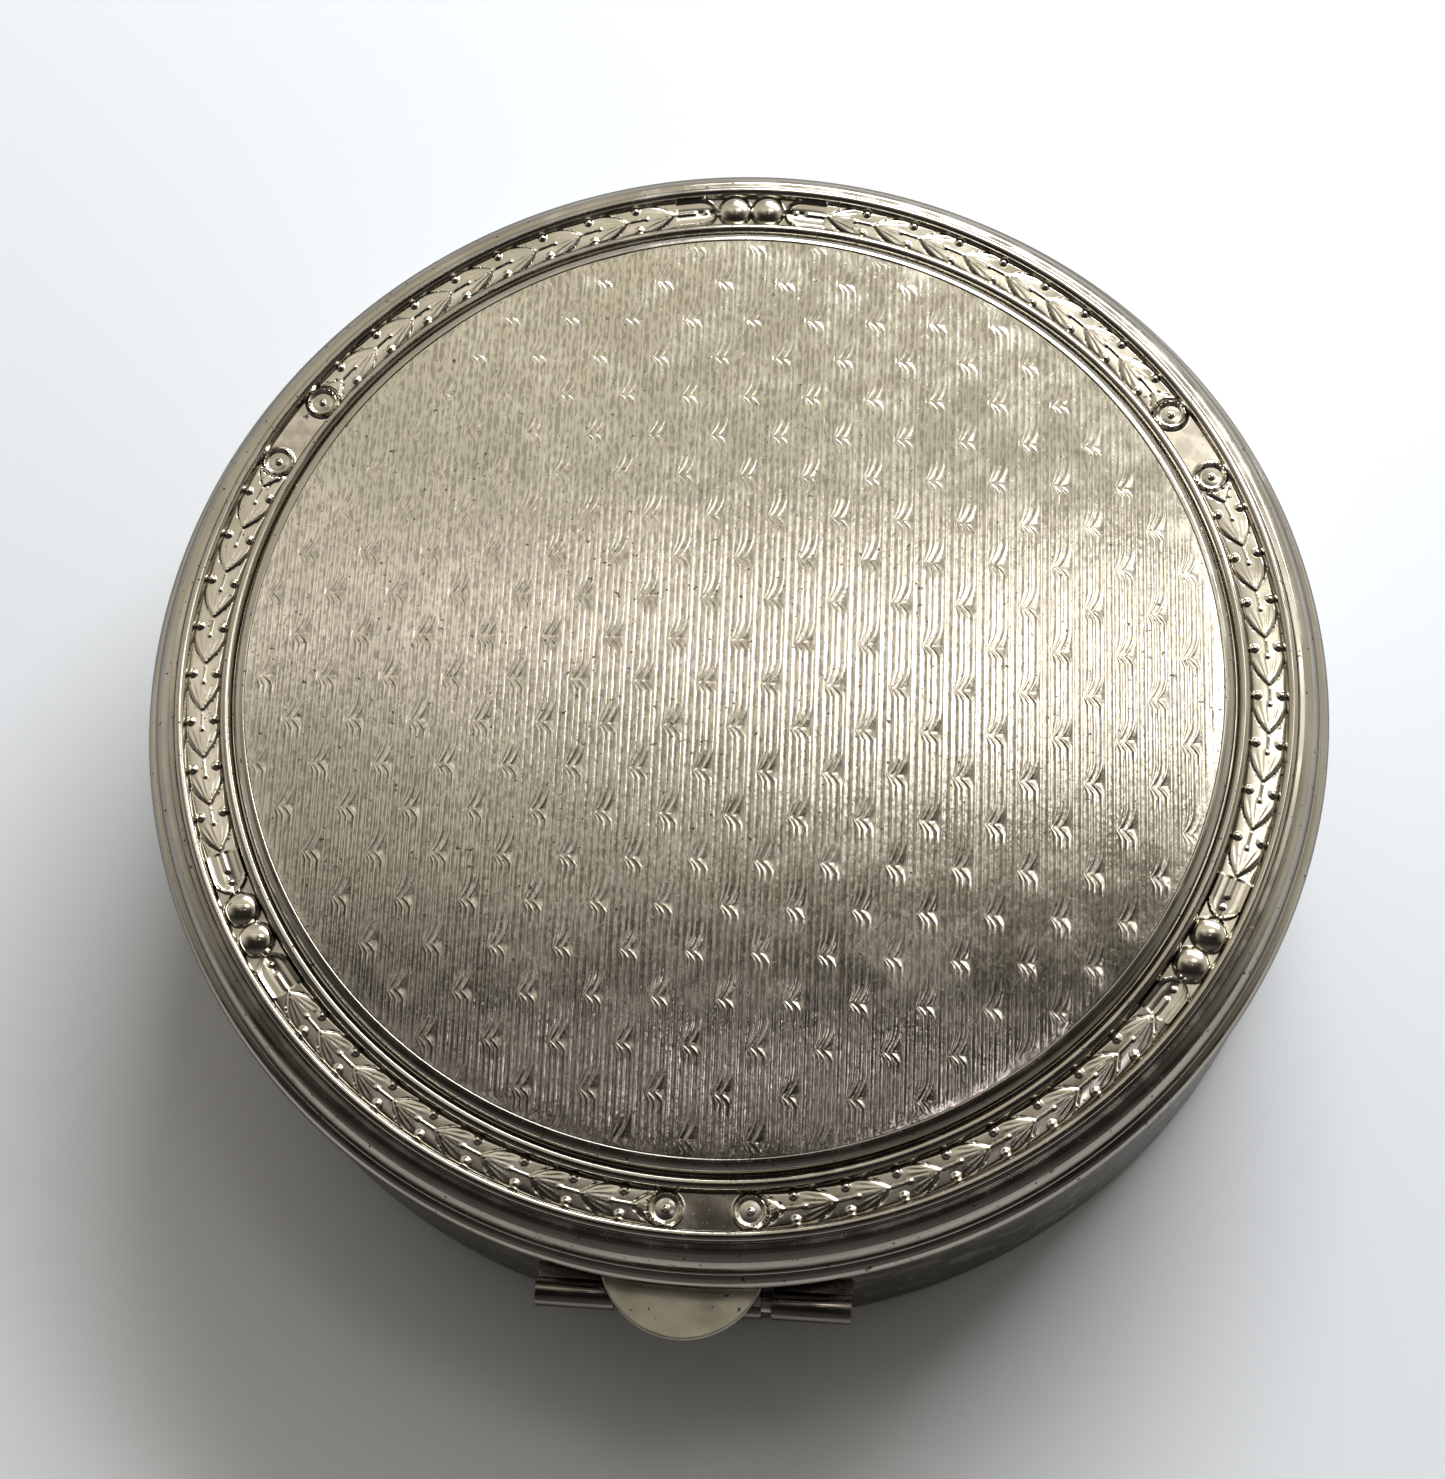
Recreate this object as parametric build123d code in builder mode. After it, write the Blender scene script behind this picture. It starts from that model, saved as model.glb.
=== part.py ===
"""Round pill box with a hinged lid, an engine-turned top and a thumb lever.

Millimetres, +Z up. The origin is the centre of the face that the box rests on.
-Y is the front, where the thumb lever is; +Y is the rear, where the lid's hinge is.
"""

from build123d import *
import math
import os

# ---------------------------------------------------------------- driving dimensions
sheet = 0.40  # thickness of the stamped shells
lid_radius = 25.0  # widest turn of the lid's rolled rim
base_radius = 24.8  # outside of the base wall
seam_height = 10.3  # lowest edge of the lid
pan_height = 10.05  # top edge of the base wall
pan_corner = 0.9  # rounded corner between base wall and bottom

# the lid's ornament, from the middle outwards
panel_radius = 20.9  # outside of the domed panel
panel_roll = 0.55  # radius of the panel's rolled edge
panel_seat = 12.85  # ledge that the panel's edge stands on
panel_edge_height = 13.5  # top of the panel beside its rolled edge
panel_crown_height = 14.2  # middle of the domed panel
ledge_inner = 19.9  # inner edge of the ledge under the panel
bead_inner, bead_outer, bead_crown = 20.98, 21.55, 13.12
border_inner, border_outer, border_floor = 21.60, 22.98, 12.58
border_middle = 22.3  # circle that the studs and rosettes stand on
outer_bead, outer_bead_crown = 23.50, 12.93
lid_underside = 12.20
ornament_turn = 1.5  # degrees that the ornament is struck out of line with the lever

stud_radius, stud_rise = 0.74, 0.42
stud_turn = 1.85  # degrees from the middle of a pair to each stud
rosette_radius, rosette_wire = 0.58, 0.17
rosette_turn = 4.28  # degrees from the middle of a pair to each rosette
rosette_eye = 0.16

# the cup that holds the pills, and the neck that guides the lid
cup_radius = 24.40
cup_wall = 0.35
cup_corner = 0.6
shoulder_height = 8.15
neck_radius = 23.95
neck_height = 11.5
neck_bead_rise, neck_bead_height = 0.12, 11.0

liner_radius, liner_sheet = 23.3, 0.30

# hinge and lever hardware
wire_radius = 0.30
running_clearance = 0.05
leaf_sheet = 0.35
leaf_drop = 3.4  # how far a bracket's plate reaches below its pin
middle_gap = 0.27  # room under a middle knuckle

# the lid's hinge is narrow and low, so that the rim hides it from above
hinge_y, hinge_z = 25.35, 8.5
hinge_knuckle = 0.55
hinge_half_width, hinge_outer_start = 4.4, 2.2
hinge_middle_half = 1.9
leaf_inner_end = 24.2

lever_y, lever_z = -25.25, 9.0
lever_knuckle = 0.58
lever_half_width, lever_outer_start = 6.35, 3.15
lever_middle_x, lever_middle_half = -0.15, 2.9
tab_x, tab_radius, tab_tip = -0.45, 3.4, 26.95
tab_sheet = 0.30
tab_clearance = 0.10  # between the tab and the outer knuckles that it sweeps over
arm_end = 24.2  # inner end of the lever's arm, under the lid's rim
lever_notch_half = 3.55

neck_step = cup_radius - neck_radius
neck_inner = neck_radius - cup_wall
bead_foot = 2 * neck_bead_rise  # half height of the neck's snap bead
stud_sphere = (stud_radius**2 + stud_rise**2) / (2 * stud_rise)
stud_cut = math.degrees(math.asin(1 - stud_rise / stud_sphere))
os.makedirs("parts", exist_ok=True)


# ---------------------------------------------------------------- base_pan
with BuildPart() as base_pan:
    with BuildSketch(Plane.XZ):
        with BuildLine():
            Polyline(
                (0, 0),
                (base_radius, 0),
                (base_radius, pan_height),
                (base_radius - sheet, pan_height),
                (base_radius - sheet, sheet),
                (0, sheet),
                close=True,
            )
        make_face()
    revolve(axis=Axis.Z)
    bottom_edges = base_pan.edges().filter_by(GeomType.CIRCLE).group_by(Axis.Z)
    fillet(bottom_edges[0], pan_corner)
    floor_edges = base_pan.edges().filter_by(lambda e: abs(e.center().Z - sheet) < 1e-6)
    fillet(floor_edges.filter_by(GeomType.CIRCLE), pan_corner - sheet)
    # notches in the top edge let the lid's leaf and the lever's arm through
    hinge_notch_floor = hinge_z - hinge_knuckle - middle_gap
    lever_notch_floor = lever_z - lever_knuckle - middle_gap
    with Locations((0, base_radius, hinge_notch_floor)):
        Box(2 * hinge_outer_start, 4, 4, align=(Align.CENTER, Align.CENTER, Align.MIN), mode=Mode.SUBTRACT)
    with Locations((tab_x, -base_radius, lever_notch_floor)):
        Box(2 * lever_notch_half, 4, 4, align=(Align.CENTER, Align.CENTER, Align.MIN), mode=Mode.SUBTRACT)

# ---------------------------------------------------------------- inner_cup
with BuildPart() as inner_cup:
    with BuildSketch(Plane.XZ):
        with BuildLine():
            Polyline(
                (0, sheet + cup_wall),
                (0, sheet),
                (cup_radius, sheet),
                (cup_radius, shoulder_height),
                (neck_radius, shoulder_height + neck_step),
                (neck_radius, neck_bead_height - bead_foot),
            )
            ThreePointArc(
                (neck_radius, neck_bead_height - bead_foot),
                (neck_radius + neck_bead_rise, neck_bead_height),
                (neck_radius, neck_bead_height + bead_foot),
            )
            Polyline(
                (neck_radius, neck_bead_height + bead_foot),
                (neck_radius, neck_height),
                (neck_inner, neck_height),
                (neck_inner, shoulder_height),
                (neck_inner + neck_step, shoulder_height - neck_step),
                (neck_inner + neck_step, sheet + cup_wall),
                (0, sheet + cup_wall),
            )
        make_face()
    revolve(axis=Axis.Z)
    fillet(inner_cup.edges().filter_by(GeomType.CIRCLE).group_by(Axis.Z)[0], cup_corner)


# ---------------------------------------------------------------- brackets with the outer knuckles
def knuckle_bracket(side, pin_y, pin_z, knuckle_radius, half_width, outer_start):
    """Strip on the base wall, at side +1 (rear) or -1 (front), rolled into two knuckles round a pin."""
    web_floor = pin_z - knuckle_radius
    strip_floor = pin_z - leaf_drop
    with BuildPart() as bracket:
        with BuildSketch(Plane.XY.offset(strip_floor)):
            Circle(base_radius + leaf_sheet)
            Circle(base_radius, mode=Mode.SUBTRACT)
            with Locations((0, side * base_radius)):
                Rectangle(2 * half_width, 8, mode=Mode.INTERSECT)
        extrude(amount=web_floor + leaf_sheet - strip_floor)
        with BuildSketch(Plane.XY.offset(web_floor)):
            with Locations((0, side * abs(pin_y) - side * 2)):
                Rectangle(2 * half_width, 4)
            Circle(base_radius, mode=Mode.SUBTRACT)
        extrude(amount=leaf_sheet)
        for start in (-half_width, outer_start):
            with BuildSketch(Plane.YZ.offset(start)):
                with Locations((pin_y, pin_z)):
                    Circle(knuckle_radius)
            extrude(amount=half_width - outer_start)
        # the middle is open for the moving knuckle
        with Locations((0, pin_y, web_floor - middle_gap)):
            Box(2 * outer_start, 6, 4, align=(Align.CENTER, Align.CENTER, Align.MIN), mode=Mode.SUBTRACT)
        with BuildSketch(Plane.YZ.offset(-half_width)):
            with Locations((pin_y, pin_z)):
                Circle(wire_radius)
        extrude(amount=2 * half_width, mode=Mode.SUBTRACT)
    return bracket


def pin_wire(pin_y, pin_z, half_width):
    """Straight wire through three knuckles, with softened ends."""
    with BuildPart() as wire:
        with BuildSketch(Plane.YZ.offset(-half_width)):
            with Locations((pin_y, pin_z)):
                Circle(wire_radius)
        extrude(amount=2 * half_width)
        chamfer(wire.edges().filter_by(GeomType.CIRCLE), wire_radius / 4)
    return wire


base_hinge_leaf = knuckle_bracket(
    1, hinge_y, hinge_z, hinge_knuckle, hinge_half_width, hinge_outer_start
)
lever_bracket = knuckle_bracket(
    -1, lever_y, lever_z, lever_knuckle, lever_half_width, lever_outer_start
)
hinge_pin = pin_wire(hinge_y, hinge_z, hinge_half_width)
lever_pin = pin_wire(lever_y, lever_z, lever_half_width)

# ---------------------------------------------------------------- lid_rim
with BuildPart() as lid_rim:
    with BuildSketch(Plane.XZ):
        with BuildLine():
            # over the ornament, from the panel's ledge to the rolled rim
            Line((ledge_inner, panel_seat), (bead_inner, panel_seat))
            ThreePointArc((bead_inner, panel_seat), (21.24, bead_crown), (bead_outer, panel_seat))
            Polyline(
                (bead_outer, panel_seat),
                (border_inner, border_floor),
                (border_outer, border_floor),
                (border_outer + 0.04, border_floor + 0.15),
            )
            ThreePointArc(
                (border_outer + 0.04, border_floor + 0.15),
                (23.26, outer_bead_crown),
                (outer_bead, 12.74),
            )
            Polyline((outer_bead, 12.74), (outer_bead + 0.02, 12.66), (23.78, 12.64))
            ThreePointArc((23.78, 12.64), (24.30, 12.25), (24.50, 11.62))
            ThreePointArc((24.50, 11.62), (24.60, 11.52), (24.58, 11.38))
            ThreePointArc((24.58, 11.38), (lid_radius, 10.95), (24.78, seam_height))
            # under the rim and back along the inside
            Polyline(
                (24.78, seam_height),
                (24.27, seam_height),
                (24.27, 10.50),
                (24.45, 10.70),
                (24.45, 11.10),
                (24.18, 11.38),
                (24.16, 11.70),
                (23.88, 12.06),
                (23.50, lid_underside),
                (border_inner, lid_underside),
                (border_inner - 0.25, panel_seat - sheet),
                (ledge_inner, panel_seat - sheet),
                (ledge_inner, panel_seat),
            )
        make_face()
    revolve(axis=Axis.Z)
    # pairs of studs at the rear and at 120 degrees to each side, pairs of rosettes between them
    rear, front = 90 + ornament_turn, 270 + ornament_turn
    for turn in (-stud_turn, stud_turn):
        with Locations(Plane.XY.offset(border_floor - 0.02)):
            with PolarLocations(border_middle, 3, start_angle=rear + turn):
                Sphere(
                    stud_sphere,
                    arc_size1=stud_cut,
                    align=(Align.CENTER, Align.CENTER, Align.MIN),
                )
    for turn in (-rosette_turn, rosette_turn):
        with Locations(Plane.XY.offset(border_floor + 0.04)):
            with PolarLocations(border_middle, 3, start_angle=front + turn):
                Torus(rosette_radius, rosette_wire)
                Sphere(rosette_eye)

# ---------------------------------------------------------------- lid_panel
with BuildPart() as lid_panel:
    panel_flank = panel_radius - panel_roll
    crown_rise = panel_crown_height - panel_edge_height
    dome_radius = (panel_flank**2 + crown_rise**2) / (2 * crown_rise)
    half_way = panel_flank / 2
    dome_half = panel_crown_height - dome_radius + math.sqrt(dome_radius**2 - half_way**2)
    with BuildSketch(Plane.XZ):
        with BuildLine():
            ThreePointArc(
                (0, panel_crown_height),
                (half_way, dome_half),
                (panel_flank, panel_edge_height),
            )
            ThreePointArc(
                (panel_flank, panel_edge_height),
                (panel_flank + panel_roll * 0.74, panel_edge_height - panel_roll * 0.28),
                (panel_radius, panel_edge_height - panel_roll),
            )
            Polyline(
                (panel_radius, panel_edge_height - panel_roll),
                (panel_radius, panel_seat),
                (panel_radius - sheet, panel_seat),
                (panel_radius - sheet, panel_edge_height - panel_roll),
                (panel_flank, panel_edge_height - sheet),
            )
            ThreePointArc(
                (panel_flank, panel_edge_height - sheet),
                (half_way, dome_half - sheet),
                (0, panel_crown_height - sheet),
            )
            Line((0, panel_crown_height - sheet), (0, panel_crown_height))
        make_face()
    revolve(axis=Axis.Z)

# ---------------------------------------------------------------- lid_liner
with BuildPart() as lid_liner:
    with BuildSketch(Plane.XY.offset(lid_underside - liner_sheet)):
        Circle(liner_radius)
    extrude(amount=liner_sheet)
    fillet(lid_liner.edges().group_by(Axis.Z)[0], liner_sheet / 3)

# ---------------------------------------------------------------- lid_hinge_leaf
with BuildPart() as lid_hinge_leaf:
    leaf_wall = hinge_y - hinge_knuckle  # inner face of the leaf's upright, level with the knuckle's side
    with BuildSketch(Plane.YZ.offset(-hinge_middle_half)):
        with Locations((hinge_y, hinge_z)):
            Circle(hinge_knuckle)
        with Locations((leaf_wall, hinge_z)):
            Rectangle(leaf_sheet, seam_height - hinge_z, align=(Align.MIN, Align.MIN))
        with Locations((leaf_inner_end, seam_height)):
            Rectangle(
                leaf_wall + leaf_sheet - leaf_inner_end, leaf_sheet, align=(Align.MIN, Align.MAX)
            )
        with Locations((hinge_y, hinge_z)):
            Circle(wire_radius + running_clearance, mode=Mode.SUBTRACT)
    extrude(amount=2 * hinge_middle_half)

# ---------------------------------------------------------------- thumb_lever
with BuildPart() as thumb_lever:
    tab_floor = lever_z + lever_knuckle + tab_clearance
    with BuildSketch(Plane.XY.offset(tab_floor)):
        with Locations((tab_x, tab_radius - tab_tip)):
            Circle(tab_radius)
        with Locations((tab_x, -arm_end - tab_radius)):
            Rectangle(2 * tab_radius, 2 * tab_radius, mode=Mode.INTERSECT)
    extrude(amount=tab_sheet)
    with BuildSketch(Plane.YZ.offset(lever_middle_x - lever_middle_half)):
        with Locations((lever_y, lever_z)):
            Circle(lever_knuckle)
        with Locations((lever_y, lever_z + lever_knuckle)):
            Rectangle(lever_knuckle, 2 * tab_clearance)
    extrude(amount=2 * lever_middle_half)
    with BuildSketch(Plane.YZ.offset(lever_middle_x - lever_middle_half)):
        with Locations((lever_y, lever_z)):
            Circle(wire_radius + running_clearance)
    extrude(amount=2 * lever_middle_half, mode=Mode.SUBTRACT)

# ---------------------------------------------------------------- export
pieces = {
    "base_pan": base_pan,
    "inner_cup": inner_cup,
    "base_hinge_leaf": base_hinge_leaf,
    "hinge_pin": hinge_pin,
    "lever_bracket": lever_bracket,
    "lever_pin": lever_pin,
    "lid_rim": lid_rim,
    "lid_panel": lid_panel,
    "lid_liner": lid_liner,
    "lid_hinge_leaf": lid_hinge_leaf,
    "thumb_lever": thumb_lever,
}
for name, piece in pieces.items():
    piece.part.label = name
    export_step(piece.part, f"parts/{name}.step")
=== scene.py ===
"""Round pill box: engine-turned lid, laurel border, plain base, rear hinge and thumb lever.

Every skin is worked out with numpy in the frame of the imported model, in millimetres, and is
written to its mesh in metres. -Y is the front, +Y the hinge side, and the box rests on z = 0.
"""

import logging
import math
from dataclasses import dataclass
from enum import Enum

import bmesh
import bpy
import numpy as np
from mathutils import Matrix, Vector


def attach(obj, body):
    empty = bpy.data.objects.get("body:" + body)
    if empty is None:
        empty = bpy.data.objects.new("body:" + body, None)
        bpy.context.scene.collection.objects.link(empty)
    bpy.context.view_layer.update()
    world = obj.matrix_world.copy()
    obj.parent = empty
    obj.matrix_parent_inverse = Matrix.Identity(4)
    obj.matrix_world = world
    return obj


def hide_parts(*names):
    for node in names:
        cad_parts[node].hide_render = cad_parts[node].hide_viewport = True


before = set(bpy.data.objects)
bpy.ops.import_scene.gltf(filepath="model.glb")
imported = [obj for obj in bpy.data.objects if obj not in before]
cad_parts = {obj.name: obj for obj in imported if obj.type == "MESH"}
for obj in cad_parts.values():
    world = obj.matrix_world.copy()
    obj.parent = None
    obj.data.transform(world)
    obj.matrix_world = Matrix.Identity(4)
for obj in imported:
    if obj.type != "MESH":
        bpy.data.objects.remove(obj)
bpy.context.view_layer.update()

log = logging.getLogger("pill_box")

MM = 0.001

Point = tuple[float, float]
Triple = tuple[float, float, float]
Socket = bpy.types.NodeSocket


# ---------------------------------------------------------------- curves and skins


def ease(value: np.ndarray, start: float, end: float) -> np.ndarray:
    """Smooth step: 0 at start, 1 at end, 3x^2 - 2x^3 between them; start may be the larger."""
    x = np.clip((value - start) / (end - start), 0.0, 1.0)
    return x * x * (3.0 - 2.0 * x)


def line(*points: Point) -> np.ndarray:
    """Straight stretches through the given points of a section."""
    return np.array(points, float)


def arc(start: Point, middle: Point, end: Point, steps: int = 5) -> np.ndarray:
    """Circular arc through three points of a section.

    The centre is where |p - c| is the same for all three, and the points divide the angle evenly.

    Args:
        start: first point.
        middle: any point on the arc between the ends.
        end: last point.
        steps: number of spans.

    Returns:
        steps + 1 points.
    """
    a, m, b = (np.array(p, float) for p in (start, middle, end))
    chords = 2 * np.array([m - a, b - a])
    centre = np.linalg.solve(chords, np.array([m @ m - a @ a, b @ b - a @ a]))
    turns = np.unwrap([math.atan2(*(p - centre)[::-1]) for p in (a, m, b)])
    angle = np.linspace(turns[0], turns[2], steps + 1)
    radius = np.linalg.norm(a - centre)
    return centre + radius * np.stack([np.cos(angle), np.sin(angle)], axis=1)


def sweep(centre: Point, radius: float, first: float, last: float, steps: int) -> np.ndarray:
    """Arc about a centre from one angle to another, in degrees."""
    angle = np.radians(np.linspace(first, last, steps + 1))
    return np.array(centre) + radius * np.stack([np.cos(angle), np.sin(angle)], axis=1)


def soften(outline: np.ndarray, reach: float, steps: int = 2) -> np.ndarray:
    """Closed outline with every corner rounded off.

    At each corner C the outline follows (1-t)^2 P + 2t(1-t) C + t^2 Q, where P and Q lie on the
    two sides at distance reach from C, or at 0.3 of the side if that is nearer. A guard point on
    each side, half as far again, keeps the flat part flat when it is shaded smooth.

    Args:
        outline: corners of the closed outline.
        reach: distance from a corner at which the rounding begins.
        steps: number of spans in the rounding.

    Returns:
        Points of the rounded outline, the first one not repeated.
    """
    before, after = np.roll(outline, 1, axis=0), np.roll(outline, -1, axis=0)
    back, ahead = before - outline, after - outline
    back_length = np.linalg.norm(back, axis=1, keepdims=True)
    ahead_length = np.linalg.norm(ahead, axis=1, keepdims=True)
    p = back * np.minimum(reach / back_length, 0.3)
    q = ahead * np.minimum(reach / ahead_length, 0.3)
    t = np.linspace(0.0, 1.0, steps + 1)[None, :, None]
    curve = (1 - t) ** 2 * p[:, None] + t**2 * q[:, None]
    corner = np.concatenate([1.5 * p[:, None], curve, 1.5 * q[:, None]], axis=1)
    return (outline[:, None] + corner).reshape(-1, 2)


@dataclass
class Skin:
    """Closed skin: points in millimetres, faces of four corners, and how deep each point lies."""

    points: np.ndarray
    faces: np.ndarray
    recess: np.ndarray

    @classmethod
    def from_grid(
        cls, grid: np.ndarray, close_rows: bool, recess: np.ndarray | float = 0.0
    ) -> "Skin":
        """Skin of a grid whose rows are closed loops.

        Point (i, j) has index i * columns + j, and a face joins it to (i+1, j), (i+1, j+1) and
        (i, j+1), with j + 1 taken round the loop.

        Args:
            grid: rows by columns by 3 points.
            close_rows: whether the last row joins the first.
            recess: depth in the relief, 0 on the heights and 1 in the hollows.

        Returns:
            The skin, with its faces turned outwards.
        """
        rows, columns = grid.shape[:2]
        i = np.arange(rows if close_rows else rows - 1)[:, None]
        j = np.arange(columns)[None, :]
        below, right = (i + 1) % rows, (j + 1) % columns
        corners = (i * columns + j, below * columns + j, below * columns + right, i * columns + right)
        faces = np.stack([c + 0 * (i + j) for c in corners], axis=-1).reshape(-1, 4)
        depth = np.broadcast_to(recess, (rows, columns)).reshape(-1)
        return cls(grid.reshape(-1, 3), faces, depth).outward()

    def outward(self) -> "Skin":
        """Faces turned outwards: the volume, the sum of a.(b x c)/6 over all triangles, is positive.

        Returns:
            The same skin, with its faces turned over if they pointed inwards.
        """
        a, b, c, d = (self.points[self.faces[:, k]] for k in range(4))
        volume = (a * np.cross(b, c)).sum() + (a * np.cross(c, d)).sum()
        return self if volume > 0 else Skin(self.points, self.faces[:, ::-1], self.recess)

    def turned(self, degrees: float) -> "Skin":
        """The skin turned about the Z axis: x cos a - y sin a, x sin a + y cos a.

        Args:
            degrees: angle a, anticlockwise from above.

        Returns:
            The turned skin.
        """
        c, s = math.cos(math.radians(degrees)), math.sin(math.radians(degrees))
        turn = np.array([[c, s, 0], [-s, c, 0], [0, 0, 1]])
        return Skin(self.points @ turn, self.faces, self.recess)

    def mirrored(self, side: int) -> "Skin":
        """The skin with y multiplied by side, which is 1 or -1."""
        return Skin(self.points * np.array([1, side, 1]), self.faces, self.recess).outward()

    @staticmethod
    def joined(skins: list["Skin"]) -> "Skin":
        """Several separate skins as one, each with its point numbers moved up past those before it.

        Args:
            skins: the separate skins.

        Returns:
            The joined skin.
        """
        starts = np.cumsum([0] + [len(s.points) for s in skins[:-1]])
        return Skin(
            np.concatenate([s.points for s in skins]),
            np.concatenate([s.faces + start for s, start in zip(skins, starts)]),
            np.concatenate([s.recess for s in skins]),
        )


def turned_skin(section: np.ndarray, steps: int = 288) -> Skin:
    """Closed section (r, z) carried round the Z axis: x = r cos a, y = r sin a.

    A corner counts as a hollow by three times the sine of its turn, where it turns the other way
    from the section as a whole.

    Args:
        section: points of the closed section.
        steps: number of places round the axis.

    Returns:
        The closed skin.
    """
    ahead = np.roll(section, -1, axis=0) - section
    behind = np.roll(ahead, 1, axis=0)
    way = np.sign(np.cross(section, np.roll(section, -1, axis=0)).sum())
    length = np.linalg.norm(ahead, axis=1) * np.linalg.norm(behind, axis=1)
    hollow = np.clip(-3 * way * np.cross(behind, ahead) / length, 0, 1)
    angle = np.linspace(0.0, 2 * np.pi, steps, endpoint=False)[:, None]
    r, z = section[None, :, 0], section[None, :, 1]
    grid = np.stack([r * np.cos(angle), r * np.sin(angle), z + 0 * angle], axis=-1)
    return Skin.from_grid(grid, close_rows=True, recess=hollow[None, :])


def drawn_skin(sections: np.ndarray) -> Skin:
    """Sheet whose section is a band with two long sides, drawn out through a row of sections.

    Point i of a section faces point 2m-1-i across the sheet. At both ends the band closes up to
    its middle line: its thickness is 0.55 and 0.85 times the full one at the first two sections.
    The ends themselves are faces between facing points, turned over with the rest of the skin.

    Args:
        sections: sections by 2m by 3 points, at least four sections.

    Returns:
        The closed skin.
    """
    middle = (sections + sections[:, ::-1]) / 2
    share = np.ones(len(sections))
    share[[0, -1]], share[[1, -2]] = 0.55, 0.85
    grid = middle + (sections - middle) * share[:, None, None]
    skin = Skin.from_grid(grid, close_rows=False)
    count = sections.shape[1]
    i = np.arange(count // 2 - 1)
    first = np.stack([i, i + 1, count - 2 - i, count - 1 - i], axis=1)
    last = first[:, ::-1] + (len(sections) - 1) * count
    ends = np.concatenate([first, last])
    if skin.faces[0, 0] != 0:
        ends = ends[:, ::-1]
    faces = np.concatenate([skin.faces, ends])
    return Skin(skin.points, faces, skin.recess)


def softened_run(start: float, end: float, edge: float = 0.06) -> np.ndarray:
    """Places along a drawn sheet: close together at both ends, where drawn_skin softens it."""
    return np.array([start, start + 0.3 * edge, start + edge, end - edge, end - 0.3 * edge, end])


def plate_skin(outline: np.ndarray, low: float, high: float, edge: float) -> Skin:
    """Flat plate with rounded edges.

    Rings of the outline are drawn in by d at height z, where (d, z) runs round a quarter circle
    of radius edge at the floor and at the top, and the first and last ring shrink to a point.

    Args:
        outline: closed outline in x and y, anticlockwise.
        low: height of the floor.
        high: height of the top.
        edge: radius of the rounded edges.

    Returns:
        The closed skin.
    """
    way = np.roll(outline, -1, axis=0) - np.roll(outline, 1, axis=0)
    inward = np.stack([-way[:, 1], way[:, 0]], axis=1) / np.linalg.norm(way, axis=1, keepdims=True)
    turn = np.linspace(0.0, np.pi / 2, 5)
    inset = np.concatenate([[1.6], 1 - np.sin(turn), 1 - np.cos(turn), [1.6]]) * edge
    rise = edge * np.concatenate([[0.0], 1 - np.cos(turn)])
    height = np.concatenate([low + rise, high - rise[::-1]])
    flat = outline[None] + inset[:, None, None] * inward[None]
    level = np.broadcast_to(height[:, None, None], flat.shape[:2] + (1,))
    rings = np.concatenate([flat, level], axis=-1)
    floor = np.broadcast_to(rings[0].mean(axis=0), rings[0].shape)
    top = np.broadcast_to(rings[-1].mean(axis=0), rings[-1].shape)
    return Skin.from_grid(np.concatenate([floor[None], rings, top[None]]), close_rows=False)


def tube_skin(y: float, z: float, outer: float, inner: float, start: float, end: float) -> Skin:
    """Tube along X: a closed section of both walls carried round the line through (y, z).

    A point of the section at distance r lies at y + r cos a, z + r sin a.

    Args:
        y: place of the axis.
        z: height of the axis.
        outer: outer radius.
        inner: bore radius.
        start: lower end along x.
        end: upper end along x.

    Returns:
        The closed skin.
    """
    section = soften(line((start, outer), (end, outer), (end, inner), (start, inner)), 0.07, 3)
    angle = np.linspace(0.0, 2 * np.pi, 56, endpoint=False)[:, None]
    x, r = section[None, :, 0], section[None, :, 1]
    grid = np.stack([x + 0 * angle, y + r * np.cos(angle), z + r * np.sin(angle)], axis=-1)
    return Skin.from_grid(grid, close_rows=True)


# ---------------------------------------------------------------- finishes


class Wear(Enum):
    """How a piece has aged: how much tarnish sits in its hollows, and how many specks it has."""

    ENGRAVED = (0.66, 0.35)
    RELIEF = (0.40, 0.25)
    HANDLED = (0.30, 0.15)
    SHELTERED = (0.20, 0.08)


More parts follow.
